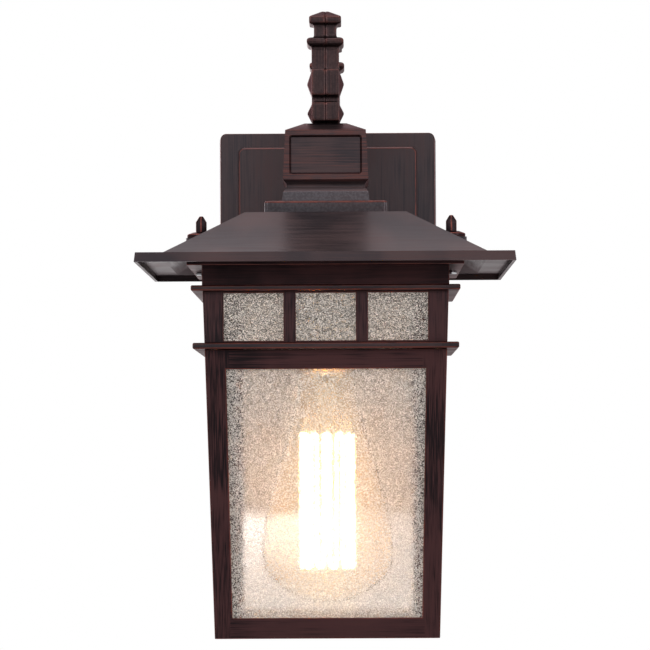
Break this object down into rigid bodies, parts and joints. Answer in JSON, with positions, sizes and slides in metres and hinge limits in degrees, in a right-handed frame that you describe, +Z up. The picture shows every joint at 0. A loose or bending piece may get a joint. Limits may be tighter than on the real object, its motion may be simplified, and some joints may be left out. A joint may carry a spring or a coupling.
{
  "type": "outdoor wall lantern",
  "caption": "Arts-and-crafts outdoor wall lantern: hipped square roof over a tapered cage of seeded glass, hung from a post-and-beam cast arm on a rectangular wall plate.",
  "frame": {"origin": "centre of the crossbar's back face, on the wall", "axes": "+X to the viewer's right, +Y into the wall, +Z up; the lantern is at negative Y"},
  "size_m": [0.178, 0.222, 0.3047],
  "materials": {
    "bronze": "oil-rubbed bronze over brass and castings, brushed, with copper showing at the edges",
    "bronze_inside": "plain bronze coat inside the cage",
    "steel": "zinc plated",
    "brass": "plain, slightly dulled",
    "porcelain": "glazed",
    "foam": "closed-cell foam",
    "seeded_glass": "clear seeded glass with an uneven surface",
    "lamp_glass": "clear, faintly amber",
    "filament": "glowing wire",
    "vitrite": "black glass",
    "black_wire": "insulation",
    "white_wire": "insulation",
    "copper": "bare copper",
    "nut_plastic": "moulded",
    "green_screw": "green dyed"
  },
  "bodies": {
    "mount_body": {"crossbar": "steel", "wall_gasket": "foam", "wall_plate": "bronze", "plate_stud_left": "steel", "plate_stud_right": "steel", "plate_nut_left": "bronze", "plate_nut_right": "bronze", "arm_screw_left": "steel", "arm_screw_right": "steel", "ground_screw": "green_screw", "arm_left_half": "bronze", "arm_right_half": "bronze", "neck_block": "bronze", "crown_plate": "bronze", "roof": "bronze", "nipple": "steel", "nipple_washer": "steel", "nipple_nut": "steel", "holder_cap": "brass", "holder_body": "porcelain", "holder_screw_shell": "brass", "holder_contact": "brass", "lead_black": "black_wire", "lead_white": "white_wire", "lead_earth": "copper", "wire_nut_black": "nut_plastic", "wire_nut_white": "nut_plastic", "wire_nut_earth": "nut_plastic"},
    "finial_nut_left_body": {"finial_nut_left": "bronze"},
    "finial_nut_right_body": {"finial_nut_right": "bronze"},
    "cage": {"cage_head": "bronze", "upper_ledge": "bronze", "window_frame": "bronze", "lower_ledge": "bronze", "body_frame": "bronze", "upper_glass_front": "seeded_glass", "upper_glass_right": "seeded_glass", "upper_glass_rear": "seeded_glass", "upper_glass_left": "seeded_glass", "lower_glass_front": "seeded_glass", "lower_glass_right": "seeded_glass", "lower_glass_rear": "seeded_glass", "lower_glass_left": "seeded_glass", "glass_retainer_front_left": "bronze_inside", "glass_retainer_front_right": "bronze_inside", "glass_retainer_rear_left": "bronze_inside", "glass_retainer_rear_right": "bronze_inside", "cage_stud_left": "steel", "cage_stud_right": "steel"},
    "lamp": {"bulb_glass": "lamp_glass", "bulb_base": "brass", "bulb_insulator": "vitrite", "bulb_contact": "steel", "bulb_stem": "lamp_glass", "bulb_filament": "filament"}
  },
  "joints": [
    {"name": "finial_nut_left_spin", "type": "hinge", "parent": "mount_body", "child": "finial_nut_left_body", "pos_m": [-0.0613, -0.133, 0.0375], "axis": [0, 0, 1], "continuous": true},
    {"name": "finial_nut_right_spin", "type": "hinge", "parent": "mount_body", "child": "finial_nut_right_body", "pos_m": [0.0613, -0.133, 0.0375], "axis": [0, 0, 1], "continuous": true},
    {"name": "cage_drop", "type": "slide", "parent": "mount_body", "child": "cage", "axis": [0, 0, -1], "range_m": [0, 0.19]},
    {"name": "lamp_drop", "type": "slide", "parent": "mount_body", "child": "lamp", "axis": [0, 0, -1], "range_m": [0, 0.16]}
  ]
}
